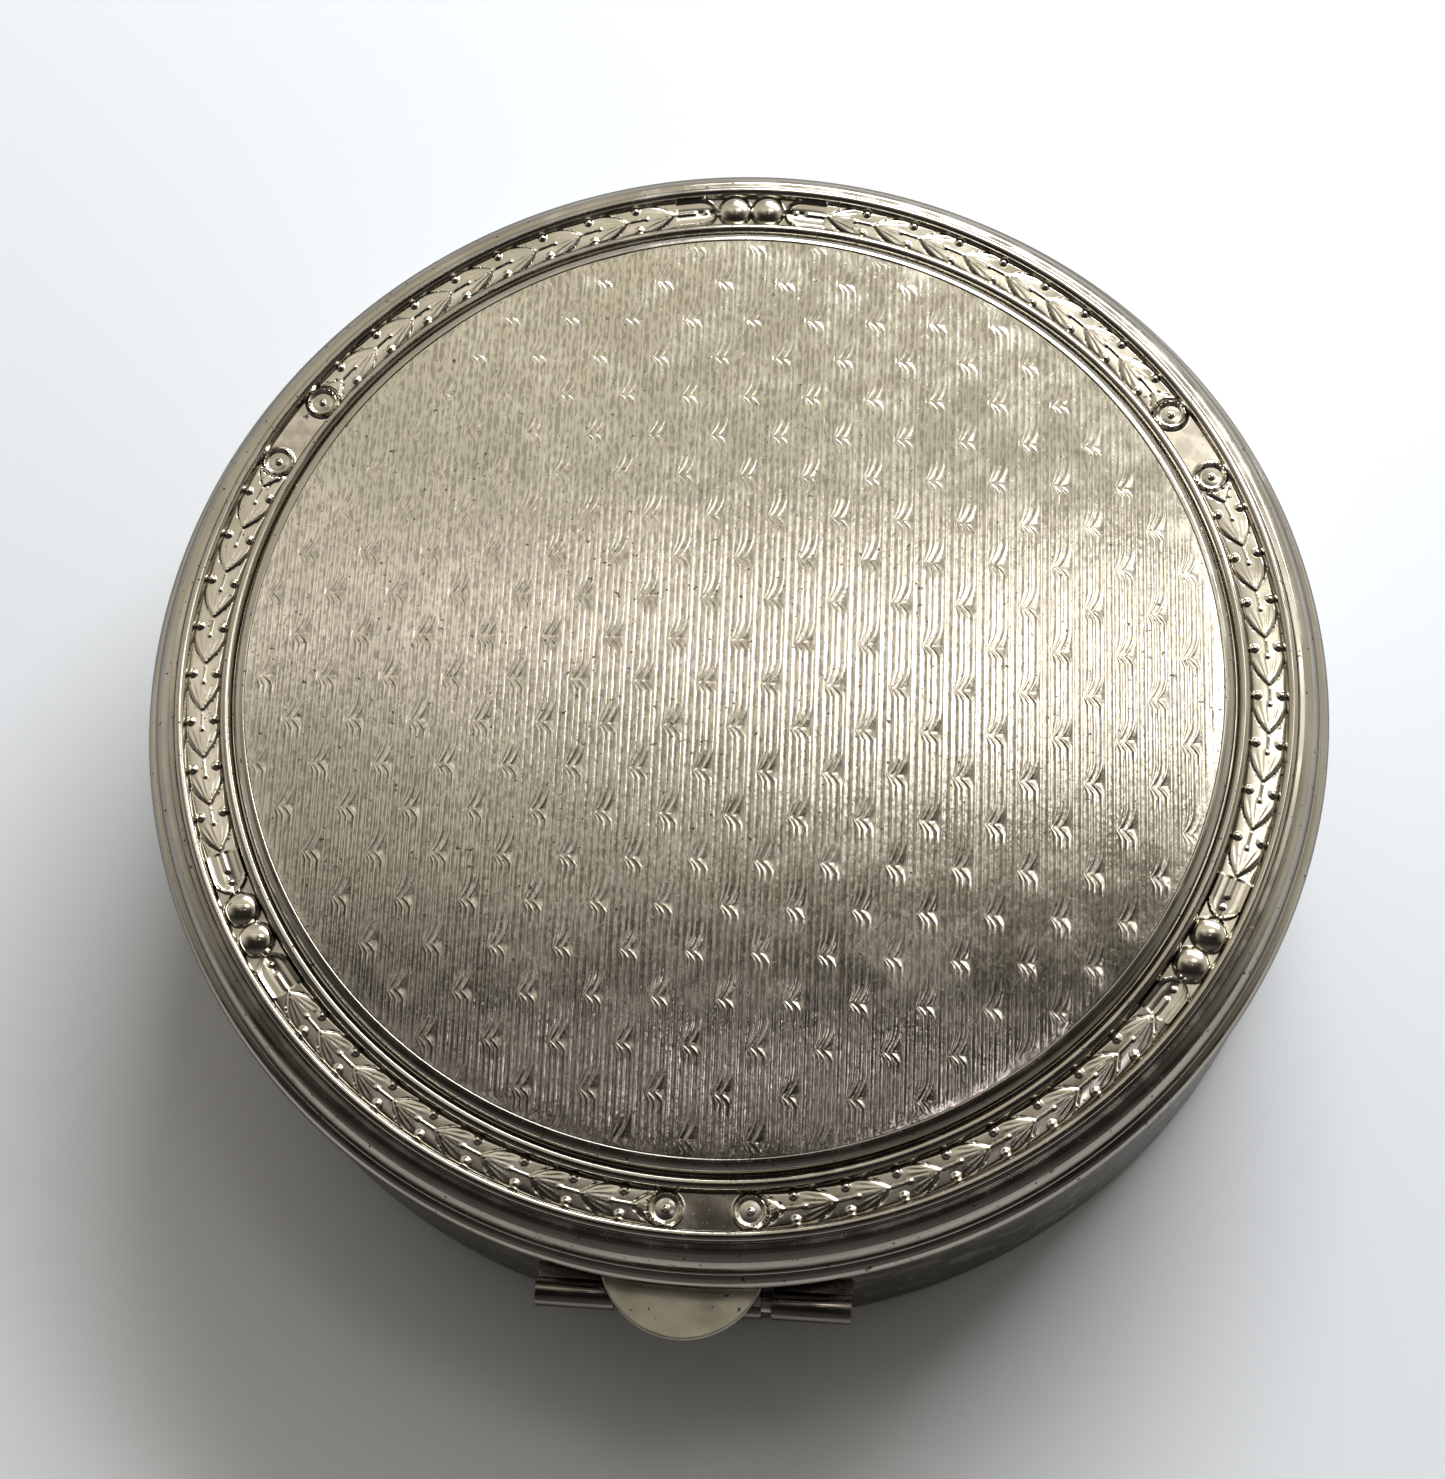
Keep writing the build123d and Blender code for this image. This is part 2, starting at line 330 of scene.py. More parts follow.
@dataclass
class Nodes:
    """Shader nodes of one tree; a method adds a kind of node and gives its result's socket."""

    tree: bpy.types.NodeTree

    def feed(self, value: Socket | float | tuple, socket: Socket) -> None:
        """Links a socket to an input, or writes a plain number or colour to it.

        Args:
            value: socket, number or colour.
            socket: the input.
        """
        if isinstance(value, bpy.types.NodeSocket):
            self.tree.links.new(value, socket)
        else:
            socket.default_value = value

    def noise(self, place: Socket, scale: float, detail: float) -> Socket:
        """Cloudy noise.

        Args:
            place: coordinates.
            scale: number of clouds along one unit of them.
            detail: number of finer layers.

        Returns:
            Value from 0 to 1.
        """
        node = self.tree.nodes.new("ShaderNodeTexNoise")
        node.inputs["Scale"].default_value = scale
        node.inputs["Detail"].default_value = detail
        self.feed(place, node.inputs["Vector"])
        return node.outputs["Fac"]

    def stretched(self, place: Socket, scales: Triple) -> Socket:
        """Coordinates multiplied by a scale along each axis.

        Args:
            place: coordinates.
            scales: the three scales.

        Returns:
            The new coordinates.
        """
        node = self.tree.nodes.new("ShaderNodeMapping")
        node.inputs["Scale"].default_value = scales
        self.feed(place, node.inputs["Vector"])
        return node.outputs["Vector"]

    def ramp(
        self, value: Socket, start: float, end: float, low: float = 0.0, high: float = 1.0
    ) -> Socket:
        """Smooth step: low at start, high at end.

        Args:
            value: the value that is read.
            start: value at which the step begins.
            end: value at which it ends; it may be the lower one.
            low: result before the step.
            high: result after it.

        Returns:
            The result.
        """
        node = self.tree.nodes.new("ShaderNodeMapRange")
        node.interpolation_type = "SMOOTHSTEP"
        self.feed(value, node.inputs["Value"])
        names = ("From Min", "From Max", "To Min", "To Max")
        for name, number in zip(names, (start, end, low, high)):
            node.inputs[name].default_value = number
        return node.outputs["Result"]

    def number(self, operation: str, *values: Socket | float, clamped: bool = False) -> Socket:
        """One step of arithmetic.

        Args:
            operation: Blender's name of the step.
            values: what it works on.
            clamped: whether the result is kept within 0 and 1.

        Returns:
            The result.
        """
        node = self.tree.nodes.new("ShaderNodeMath")
        node.operation = operation
        node.use_clamp = clamped
        for value, socket in zip(values, node.inputs):
            self.feed(value, socket)
        return node.outputs[0]

    def product(self, first: Socket, second: Socket, share: float) -> Socket:
        """Product of two values and a share, kept within 0 and 1."""
        return self.number("MULTIPLY", self.number("MULTIPLY", first, second), share, clamped=True)

    def mixed(
        self, share: Socket, first: Socket | tuple, second: Socket | tuple, way: str = "MIX"
    ) -> Socket:
        """Two colours mixed, or the second one added to the first, by a share.

        Args:
            share: how much of the second colour there is.
            first: first colour.
            second: second colour.
            way: Blender's name of the way to mix them.

        Returns:
            The colour.
        """
        node = self.tree.nodes.new("ShaderNodeMix")
        node.data_type = "RGBA"
        node.blend_type = way
        self.feed(share, node.inputs["Factor"])
        self.feed(first, node.inputs[6])
        self.feed(second, node.inputs[7])
        return node.outputs[2]


@dataclass(frozen=True)
class Metal:
    """Plated metal with cloudy patches, tarnish in its hollows, dark specks and fine scratches.

    Patch size is in millimetres; grain and streak are numbers of clouds in a metre along x, y
    and z; edge is the tint of the glancing reflection.
    """

    name: str
    slot: str
    colour: Triple
    tarnish: Triple
    roughness: float
    wear: Wear
    grain: Triple = (900.0, 900.0, 900.0)
    grain_depth: float = 0.10
    patch_size: float = 6.0
    streak: Triple = (1200.0, 1200.0, 1200.0)
    edge: float = 1.0
    speck: Triple = (0.05, 0.042, 0.035)
    speck_scale: float = 4000.0
    uneven_scale: float = 700.0
    stained_roughness: float = 0.03
    pitted_roughness: float = 0.3

    def material(self) -> bpy.types.Material:
        """Builds the node material, or finds the one that was built before.

        Returns:
            The material.
        """
        name = f"{self.name}_finish"
        made = bpy.data.materials.get(name)
        if made:
            return made
        made = bpy.data.materials.new(name)
        made.use_nodes = True
        nodes = Nodes(made.node_tree)
        shader = nodes.tree.nodes["Principled BSDF"]
        shader.inputs["Metallic"].default_value = 1.0
        shader.inputs["Specular Tint"].default_value = (self.edge, self.edge, self.edge, 1.0)
        place = nodes.tree.nodes.new("ShaderNodeTexCoord").outputs["Object"]
        patches = nodes.noise(place, 1.0 / (self.patch_size * MM), 4.0)
        worn = nodes.mixed(nodes.ramp(patches, 0.35, 0.70), self.shade(0.90), self.shade(1.06))
        stain = self.stain(nodes, place, patches)
        stained = nodes.mixed(stain, worn, (*self.tarnish, 1.0))
        specks = self.specks(nodes, place)
        spotted = nodes.mixed(nodes.product(specks, specks, 0.9), stained, (*self.speck, 1.0))
        nodes.feed(spotted, shader.inputs["Base Color"])
        nodes.feed(self.dullness(nodes, place, stain, specks), shader.inputs["Roughness"])
        nodes.feed(self.scratches(nodes, place), shader.inputs["Normal"])
        return made

    def shade(self, share: float) -> tuple[float, float, float, float]:
        """The metal's own colour, lightened or darkened."""
        red, green, blue = (min(1.0, c * share) for c in self.colour)
        return red, green, blue, 1.0

    def stain(self, nodes: Nodes, place: Socket, patches: Socket) -> Socket:
        """Tarnish: how deep the point lies, times a smooth step of streaks and of patches.

        Args:
            nodes: the material's nodes.
            place: coordinates.
            patches: the cloudy patches.

        Returns:
            Share of tarnish.
        """
        hollow = nodes.tree.nodes.new("ShaderNodeAttribute")
        hollow.attribute_name = "recess"
        streaks = nodes.ramp(nodes.noise(nodes.stretched(place, self.streak), 1.0, 4.0), 0.35, 0.65)
        cover = nodes.ramp(patches, 0.25, 0.70, 0.70, 1.0)
        mottle = nodes.ramp(nodes.product(streaks, cover, 1.0), 0.0, 0.9, 0.25, 1.0)
        most, _ = self.wear.value
        return nodes.product(hollow.outputs["Fac"], mottle, most)

    def specks(self, nodes: Nodes, place: Socket) -> Socket:
        """Small dark specks: the peaks of a fine noise, over a bar that more specks bring down."""
        bar = 0.68 - 0.12 * self.wear.value[1]
        return nodes.ramp(nodes.noise(place, self.speck_scale, 3.0), bar, 0.72)

    def dullness(self, nodes: Nodes, place: Socket, stain: Socket, specks: Socket) -> Socket:
        """Roughness: its own times the square of an uneven noise, and more on stains and specks.

        Args:
            nodes: the material's nodes.
            place: coordinates.
            stain: share of tarnish.
            specks: share of specks.

        Returns:
            Roughness.
        """
        uneven = nodes.ramp(nodes.noise(place, self.uneven_scale, 5.0), 0.3, 0.7, 0.8, 1.25)
        base = nodes.product(uneven, uneven, self.roughness)
        stained = nodes.number("MULTIPLY_ADD", stain, self.stained_roughness, base)
        return nodes.number("MULTIPLY_ADD", specks, self.pitted_roughness, stained, clamped=True)

    def scratches(self, nodes: Nodes, place: Socket) -> Socket:
        """Fine grain and scratches: noise stretched by the grain's three scales, as a bump.

        Args:
            nodes: the material's nodes.
            place: coordinates.

        Returns:
            Surface direction.
        """
        bump = nodes.tree.nodes.new("ShaderNodeBump")
        bump.inputs["Strength"].default_value = self.grain_depth
        bump.inputs["Distance"].default_value = 0.02 * MM
        nodes.feed(nodes.noise(nodes.stretched(place, self.grain), 1.0, 6.0), bump.inputs["Height"])
        return bump.outputs["Normal"]


DULL_NICKEL = (0.44, 0.41, 0.355)
# Painted shade: the hinge and lever hardware is the same nickel as the rest, and this darker colour
# stands in for the dark surroundings mirrored in its strips, knuckles, leaf and barrel.
SHADE_DARKENED_NICKEL = (0.22, 0.195, 0.17)
TARNISH = (0.12, 0.10, 0.09)

PANEL_NICKEL = Metal(
    "panel_nickel", "panel_nickel", (0.73, 0.695, 0.605), TARNISH, 0.12, Wear.ENGRAVED,
    grain=(7000.0, 3500.0, 3000.0), grain_depth=0.28, streak=(7500.0, 2600.0, 3000.0),
)
BORDER_NICKEL = Metal("border_nickel", "stamped_nickel", (0.60, 0.565, 0.48), TARNISH, 0.15, Wear.RELIEF)
RIM_NICKEL = Metal("rim_nickel", "stamped_nickel", DULL_NICKEL, TARNISH, 0.16, Wear.ENGRAVED, edge=0.3)
PAN_NICKEL = Metal("pan_nickel", "plain_nickel", DULL_NICKEL, TARNISH, 0.22, Wear.HANDLED, edge=0.4)
CUP_NICKEL = Metal("cup_nickel", "cup_nickel", (0.66, 0.62, 0.54), TARNISH, 0.26, Wear.SHELTERED)
# Hardware nickel in the darkened colour above, a painted shade of dark reflections, not a darker metal.
HARDWARE_NICKEL = Metal(
    "hardware_nickel", "hardware_nickel", SHADE_DARKENED_NICKEL, TARNISH, 0.20, Wear.HANDLED, edge=0.3,
)
LEVER_METAL = Metal(
    "lever_metal", "lever_metal", (0.60, 0.57, 0.46), (0.16, 0.14, 0.10), 0.42, Wear.RELIEF,
    grain=(1600.0, 1600.0, 1600.0), grain_depth=0.35, patch_size=1.6,
)
PIN_STEEL = Metal("pin_steel", "pin_steel", (0.50, 0.49, 0.47), TARNISH, 0.30, Wear.SHELTERED)


# ---------------------------------------------------------------- pieces


def cleaned(mesh: bpy.types.Mesh) -> None:
    """Merges the points that meet at poles and edges, and closes an open rim with one face.

    Args:
        mesh: mesh that is cleaned in place.
    """
    shell = bmesh.new()
    shell.from_mesh(mesh)
    bmesh.ops.remove_doubles(shell, verts=shell.verts, dist=1e-8)
    bmesh.ops.dissolve_degenerate(shell, edges=shell.edges, dist=1e-9)
    rim = [edge for edge in shell.edges if edge.is_boundary]
    if rim:
        bmesh.ops.edgeloop_fill(shell, edges=rim)
    loose = [vert for vert in shell.verts if not vert.link_faces]
    bmesh.ops.delete(shell, geom=loose, context="VERTS")
    shell.to_mesh(mesh)
    shell.free()


def piece(name: str, skin: Skin, metal: Metal, body: str, *nodes: str, crease: float = 40.0) -> None:
    """Writes a skin to a mesh object, dresses it and hangs it on its body.

    Args:
        name: name of the piece.
        skin: closed skin in millimetres.
        metal: finish.
        body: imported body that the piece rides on.
        nodes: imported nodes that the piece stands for.
        crease: angle in degrees above which an edge stays sharp.
    """
    mesh = bpy.data.meshes.new(name)
    mesh.vertices.add(len(skin.points))
    mesh.vertices.foreach_set("co", (skin.points * MM).astype(np.float32).ravel())
    mesh.loops.add(skin.faces.size)
    mesh.loops.foreach_set("vertex_index", skin.faces.astype(np.int32).ravel())
    mesh.polygons.add(len(skin.faces))
    mesh.polygons.foreach_set("loop_start", np.arange(0, skin.faces.size, 4, dtype=np.int32))
    mesh.update(calc_edges=True)
    depth = mesh.attributes.new("recess", "FLOAT", "POINT")
    depth.data.foreach_set("value", skin.recess.astype(np.float32))
    cleaned(mesh)
    mesh.shade_smooth()
    mesh.set_sharp_from_angle(angle=math.radians(crease))
    made = bpy.data.objects.new(name, mesh)
    bpy.context.scene.collection.objects.link(made)
    mesh.materials.append(metal.material())
    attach(made, body)
    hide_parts(*nodes)
    log.info("%s: %d faces on %s", name, len(mesh.polygons), body)


@dataclass
class EngineTurnedPanel:
    """Domed panel with upright engraved lines that are nicked into small hooks.

    The lines repeat in columns of five. The hooks of a column repeat along its lines, and those of
    the next column lie half a repeat higher. Line pull and fade say how far each of the five is
    pulled aside at a hook, and how much of its height it loses there.
    """

    edge_radius: float = 20.35
    roll_radius: float = 20.90
    seat: float = 12.85
    crown: float = 14.182
    edge_height: float = 13.47
    pitch: float = 1.3253
    repeat: float = 3.7916
    first_line: float = -0.083
    first_hook: float = 1.14
    slant: float = 0.0071
    line_places: tuple[float, ...] = (0.0, 0.235, 0.395, 0.635, 0.748)
    line_pull: tuple[float, ...] = (0.0, 0.63, 1.0, 1.0, 0.0)
    line_fade: tuple[float, ...] = (0.0, 1.0, 0.78, 0.82, 0.0)
    hook_depth: float = 0.38
    hook_rise: float = 0.95
    hook_fall: float = 0.38
    rise_power: float = 1.8
    fall_power: float = 1.25
    ridge_height: float = 0.014
    ridge_half: float = 0.046
    narrowing: float = 0.8
    hollow: float = -0.08
    tarnished: float = 0.8
    plain_edge: float = 0.7
    half_columns: int = 17
    half_rows: int = 12
    row_steps: tuple[float, ...] = (-0.40, -0.20, -0.07, 0.0, 0.10, 0.25, 0.45, 0.70, 0.95)
    edge_steps: Point = (0.95, 1.9)
    turn: float = 1.5

    def pull(self, height: np.ndarray) -> np.ndarray:
        """How far a line is pulled left beside a hook, as a share.

        With h the height over the hook's point, it is (1 - h/rise)^1.8 above the point and
        (1 + h/fall)^1.25 below it, and 0 beyond.

        Args:
            height: height over the nearest hook's point.

        Returns:
            Share from 0 to 1.
        """
        above = np.clip(1 - height / self.hook_rise, 0, 1) ** self.rise_power
        below = np.clip(1 + height / self.hook_fall, 0, 1) ** self.fall_power
        return np.where(height > 0, above, below)

    def dome(self, x: np.ndarray, y: np.ndarray) -> np.ndarray:
        """Height of the plain dome, z = crown - R + sqrt(R^2 - x^2 - y^2).

        Args:
            x: place across.
            y: place up the panel.

        Returns:
            Height.
        """
        rise = self.crown - self.edge_height
        radius = (self.edge_radius**2 + rise**2) / (2 * rise)
        return self.crown - radius + np.sqrt(radius**2 - x**2 - y**2)

    def rows(self) -> np.ndarray:
        """Places up the panel at which points lie, closest together at the hooks.

        Near the top and the bottom two more follow the edge circle, y = sqrt(R^2 - x^2), so that
        it stays round there.

        Returns:
            Places from edge to edge.
        """
        hooks = self.first_hook + self.repeat / 2 * np.arange(-self.half_rows, self.half_rows)
        at_hooks = (hooks[:, None] + np.array(self.row_steps)[None, :]).ravel()
        at_edge = np.sqrt(self.edge_radius**2 - np.array(self.edge_steps) ** 2)
        every = np.sort(np.concatenate([at_hooks, at_edge, -at_edge]))
        inside = every[np.abs(every) < self.edge_radius - 0.02]
        return np.concatenate([[-self.edge_radius], inside, [self.edge_radius]])

    def column(self) -> np.ndarray:
        """Points across one column: foot, crest and foot of each line, and a hollow in each wide gap.

        Returns:
            Rows of place across the column, offset from the line, pull, height and fading.
        """
        line_x = np.array(self.line_places) * self.pitch
        line_pull = np.array(self.line_pull)
        line_fade = np.array(self.line_fade)
        offset = np.tile([-self.ridge_half, 0.0, self.ridge_half], len(line_x))
        crest = np.tile([0.0, 1.0, 0.0], len(line_x))
        lines = np.stack([line_x.repeat(3), offset, line_pull.repeat(3), crest, line_fade.repeat(3)])
        wide = np.array([[0, 1], [2, 3], [4, 0]])  # lines at both sides of each wide gap
        far = line_x[wide[:, 1]] + np.array([0.0, 0.0, self.pitch])
        pulls = line_pull[wide].mean(axis=1)
        middle = (line_x[wide[:, 0]] + far) / 2
        low = np.full_like(pulls, self.hollow)
        hollows = np.stack([middle, 0 * pulls, pulls, low, pulls])
        points = np.concatenate([lines, hollows], axis=1)
        return points[:, np.argsort(points[0] + points[1])]

    def skin(self) -> Skin:
        """Lined top of the panel.

        Each line stays at its place less pull times hook depth, and narrows where it fades. The
        row through y runs along y - slant x, and meets the edge circle where
        x = (slant y +- sqrt((1 + slant^2) R^2 - y^2)) / (1 + slant^2); points beyond are brought
        in to there. The relief fades out over the plain edge.

        Returns:
            Skin that is open along the edge circle.
        """
        place, offset, pull, height, fade = self.column()
        count = np.arange(-self.half_columns, self.half_columns)
        y = self.rows()[:, None, None]
        turn = (count % 2)[None, :, None] * self.repeat / 2
        over = (y - self.first_hook - turn + self.repeat / 2) % self.repeat - self.repeat / 2
        amount = self.pull(over)
        x = self.first_line + count[None, :, None] * self.pitch + place[None, None, :]
        x = x + offset * (1 - self.narrowing * fade * amount) - amount * pull * self.hook_depth
        y = y[:, :, 0]
        square = 1 + self.slant**2
        reach = np.sqrt(square * self.edge_radius**2 - y**2)
        left, right = (self.slant * y - reach) / square, (self.slant * y + reach) / square
        x = np.clip(x.reshape(len(y), -1), left, right)
        y = y - self.slant * x
        flat = 1 - amount * fade
        plain = np.broadcast_to(height, flat.shape).reshape(x.shape)
        share = (height * flat).reshape(x.shape)
        share = share * ease(np.hypot(x, y), self.edge_radius, self.edge_radius - self.plain_edge)
        top = np.stack([x, y, self.dome(x, y) + self.ridge_height * share], axis=-1)
        rows, columns = x.shape
        i, j = np.arange(rows - 1)[:, None], np.arange(columns - 1)[None, :]
        here, above = i * columns + j, (i + 1) * columns + j
        corners = (here, here + 1, above + 1, above)
        faces = np.stack(corners, axis=-1).reshape(-1, 4)
        depth = np.clip(self.tarnished * (1 - plain), 0, 1)
        return Skin(top.reshape(-1, 3), faces, depth.ravel()).turned(self.turn)

    def roll(self) -> Skin:
        """Rolled edge of the panel, down to the ledge that it stands on, carried round the Z axis.

        Returns:
            The closed skin.
        """
        inner = self.edge_radius - 0.12
        section = np.concatenate([
            line((inner, self.edge_height - 0.25), (inner, self.edge_height - 0.04)),
            line((self.edge_radius, self.edge_height - 0.03)),
            arc((20.40, 13.49), (20.757, 13.346), (self.roll_radius, 12.95)),
            line((self.roll_radius, self.seat), (inner, self.seat)),
        ])
        return turned_skin(soften(section, 0.03))

    def build(self) -> None:
        """Makes the lined top and the rolled edge."""
        piece("engine_turned_top", self.skin(), PANEL_NICKEL, "lid", "lid_panel", crease=75)
        piece("panel_rolled_edge", self.roll(), RIM_NICKEL, "lid", "lid_panel")


@dataclass
class LaurelBorder:
    """Stamped band of laurel between pairs of rosettes and pairs of studs.

    The relief is a height over the band's floor at angle f, in degrees from the nearest middle of
    a pair of rosettes, and offset t from the band's middle circle.
    """

    middle: float = 22.3
    half: float = 0.71
    floor: float = 12.58
    turn: float = 1.5
    rosette_place: float = 4.28
    stud_place: float = 58.15
    stud_radius: float = 0.74
    stud_rise: float = 0.42
    rosette_radius: float = 0.76
    ring_radius: float = 0.60
    ring_width: float = 0.075
    ring_rise: float = 0.20
    eye_radius: float = 0.13
    eye_rise: float = 0.17
    dish_radius: float = 0.55
    dish_rise: float = 0.05
    first_tip: float = 7.85
    pitch: float = 5.45
    tips: int = 9
    leaf_height: float = 0.18
    under_outer: float = 23.01
    under_inner: float = 21.59
    under_level: float = 12.42
    around: int = 2640
    across: int = 31

    def leaf(self, behind: np.ndarray, t: np.ndarray) -> tuple[np.ndarray, np.ndarray]:
        """A leaf that lies across the band, from its tip backwards.

        With d the distance behind the tip in pitches, the outline is
        |t| = half (1 - (1 - d/0.62)^2). Across it the leaf stands as 1 - 0.35 s^2, with
        s = |t| / outline, and a groove runs along the outline. Fine veins fan out from the tip,
        and the leaf sinks by 0.42 of its height for each pitch.

        Args:
            behind: distance behind the tip, in pitches.
            t: offset from the middle circle.

        Returns:
            Height, and whether the point lies inside the outline.
        """
        width = self.half * (1 - np.clip(1 - behind / 0.62, 0, 1) ** 2)
        inside = (behind > 0) & (np.abs(t) < width)
        s = np.clip(np.abs(t) / np.maximum(width, 1e-6), 0, 1)
        fan = np.arctan2(np.abs(t), np.maximum(behind, 0) * 2.12 + 0.05)
        veins = 0.010 * np.sin(fan * 34) * ease(behind, 0.80, 0.25)
        groove = 0.10 * np.exp(-(((width - np.abs(t)) / 0.05) ** 2)) * ease(behind, 1.3, 0.9)
        height = self.leaf_height * (1 - 0.42 * behind) * (1 - 0.35 * s**2)
        return np.maximum(height + veins - groove, 0.0), inside

    def stalks(self, ahead: np.ndarray, t: np.ndarray) -> np.ndarray:
        """Stem before a leaf's tip, its end dot, and a pair of berries on short stalks.

        The stalk is a ridge along |t| = 0.95 (0.36 - a), with a the distance ahead in pitches.

        Args:
            ahead: distance ahead of the tip, in pitches.
            t: offset from the middle circle.

        Returns:
            Height.
        """
        step = math.radians(self.middle) * self.pitch
        stem = 0.17 * np.exp(-((t / 0.07) ** 2))
        stem = stem * ease(ahead, 0.38, 0.32) * ease(ahead, -0.15, 0.0)
        dot = self.bead(ahead * step, t, 0.36 * step, 0.0, 0.12, 0.20)
        across = (np.abs(t) - 2.9 * (0.36 - ahead)) / 2.2
        stalk = 0.11 * np.exp(-((across / 0.05) ** 2))
        stalk = stalk * ease(ahead, 0.12, 0.20) * ease(ahead, 0.40, 0.34)
        berry = self.bead(ahead * step, t, 0.17 * step, 0.68 * self.half, 0.20, 0.22)
        return np.maximum.reduce([stem, dot, stalk, berry])

    def relief(self, f: np.ndarray, t: np.ndarray) -> np.ndarray:
        """Height of the whole relief.

        A rosette is a thin ring round a shallow dish with a small eye: rise exp(-((d - r) / w)^2),
        rise (1 - (d / r)^2) and rise sqrt(1 - (d / r)^2) at distance d from its middle. A stud is
        the top of a flattened ball.

        Args:
            f: degrees from the middle of the nearest pair of rosettes, 0 to 60.
            t: offset from the middle circle.

        Returns:
            Height over the band's floor.
        """
        degree = math.radians(self.middle)
        number = np.clip(np.ceil((f - self.first_tip) / self.pitch), 0, self.tips)
        behind = (self.first_tip + number * self.pitch - f) / self.pitch
        near, inside = self.leaf(behind, t)
        rear, _ = self.leaf(behind + 1, t)
        height = np.maximum(np.where(inside, near, rear), self.stalks(1 - behind, t))
        height = height * ease(f, 5.3, 5.9)
        height = np.where(f > self.first_tip + (self.tips - 1) * self.pitch, self.cap(f, t), height)
        rosette = np.hypot((f - self.rosette_place) * degree, t)
        ring = self.ring_rise * np.exp(-(((rosette - self.ring_radius) / self.ring_width) ** 2))
        eye = self.eye_rise * np.sqrt(np.clip(1 - (rosette / self.eye_radius) ** 2, 0, 1))
        dish = self.dish_rise * np.clip(1 - (rosette / self.dish_radius) ** 2, 0, 1)
        whole = np.maximum.reduce([ring, eye, dish])
        height = np.where(rosette < self.rosette_radius, whole, height)
        stud = np.hypot((f - self.stud_place) * degree, t)
        dome = self.stud_rise * np.sqrt(np.clip(1 - (stud / self.stud_radius) ** 2, 0, 1))
        return np.where(stud < self.stud_radius, dome, height)

    def cap(self, f: np.ndarray, t: np.ndarray) -> np.ndarray:
        """Round end of the laurel beside the studs.

        Inside the half circle |t| < half sqrt(1 - a^2) there are a rim along the outline, a lobe on
        each side, a short stem and a dot.

        Args:
            f: degrees from the middle of the nearest pair of rosettes.
            t: offset from the middle circle.

        Returns:
            Height.
        """
        end = self.first_tip + (self.tips - 1) * self.pitch
        along = np.clip((f - end - 2.6) / 2.1, 0, 1)
        width = self.half * np.sqrt(1 - along**2)
        inside = np.abs(t) < width
        rim = 0.2 * np.exp(-(((width - np.abs(t)) / 0.13) ** 2))
        lobes = 0.09 * np.sin(np.pi * np.clip(np.abs(t) / np.maximum(width, 1e-6), 0, 1)) ** 0.7
        stem = 0.13 * np.exp(-((t / 0.075) ** 2)) * ease(f, end + 2.5, end + 2.1)
        dot = self.bead((f - end) * math.radians(self.middle), t, 1.32, 0.0, 0.12, 0.14)
        return np.where(inside, np.maximum(rim + lobes + stem, dot), 0.0)

    def bead(
        self, along: np.ndarray, t: np.ndarray, at: float, offset: float, radius: float, rise: float
    ) -> np.ndarray:
        """Pair of small round beads at one place along the band and at plus and minus an offset."""
        distance = np.hypot(along - at, np.abs(t) - offset)
        return rise * np.sqrt(np.clip(1 - (distance / radius) ** 2, 0, 1))

    def skin(self) -> Skin:
        """The band: its relief, and a flat underside that lies in the rim's channel.

        Returns:
            The closed skin.
        """
        angle = np.linspace(0, 360, self.around, endpoint=False)[:, None]
        t = np.linspace(-self.half, self.half, self.across)[None, :]
        f = np.abs((angle + 90 + 60) % 120 - 60)
        height = self.relief(f, t) * ease(np.abs(t), self.half + 0.001, self.half - 0.06)
        low = np.minimum(height, 0.13) / 0.13
        under_r = [[self.under_outer, self.under_inner]] * self.around
        under_z = [[self.under_level, self.under_level]] * self.around
        top_r = np.broadcast_to(self.middle + t, height.shape)
        r = np.concatenate([top_r, under_r], axis=1)
        z = np.concatenate([self.floor + height, under_z], axis=1)
        a = np.radians(angle + self.turn)
        grid = np.stack([r * np.cos(a), r * np.sin(a), z], axis=-1)
        depth = np.concatenate([1 - low, np.ones((self.around, 2))], axis=1)
        return Skin.from_grid(grid, close_rows=True, recess=depth)

    def build(self) -> None:
        """Makes the band."""
        piece("laurel_border", self.skin(), BORDER_NICKEL, "lid", "lid_rim", crease=70)


@dataclass
class LidRim:
    """Turned parts of the lid round the border: two beads, the ribbed side and the rolled rim."""

    ledge_inner: float = 19.95
    seam: float = 10.3

    def section(self) -> np.ndarray:
        """Closed section, from the panel's ledge over the beads and ribs and back inside.

        Returns:
            Points in r and z.
        """
        return np.concatenate([
            line((self.ledge_inner, 12.85), (20.98, 12.85)),
            arc((21.0, 12.87), (21.265, 13.12), (21.53, 12.87), 6),
            line((21.60, 12.62), (21.61, 12.46), (22.97, 12.46), (22.99, 12.62)),
            arc((23.04, 12.74), (23.26, 12.93), (23.49, 12.74), 6),
            line((23.53, 12.66), (23.76, 12.64)),
            arc((23.80, 12.63), (24.30, 12.25), (24.49, 11.68), 7),
            line((24.45, 11.60)),
            arc((24.52, 11.58), (24.60, 11.50), (24.58, 11.40), 3),
            line((24.55, 11.37)),
            arc((24.62, 11.34), (25.0, 10.93), (24.80, self.seam + 0.02), 8),
            line((24.77, self.seam), (24.27, self.seam), (24.27, 10.50), (24.44, 10.70)),
            line((24.44, 11.10), (24.18, 11.38), (24.16, 11.70), (23.88, 12.06), (23.50, 12.20)),
            line((21.60, 12.20), (21.35, 12.45), (self.ledge_inner, 12.45)),
        ])

    def build(self) -> None:
        """Makes the rim."""
        skin = turned_skin(soften(self.section(), 0.035), 320)
        piece("lid_rim_shell", skin, RIM_NICKEL, "lid", "lid_rim")


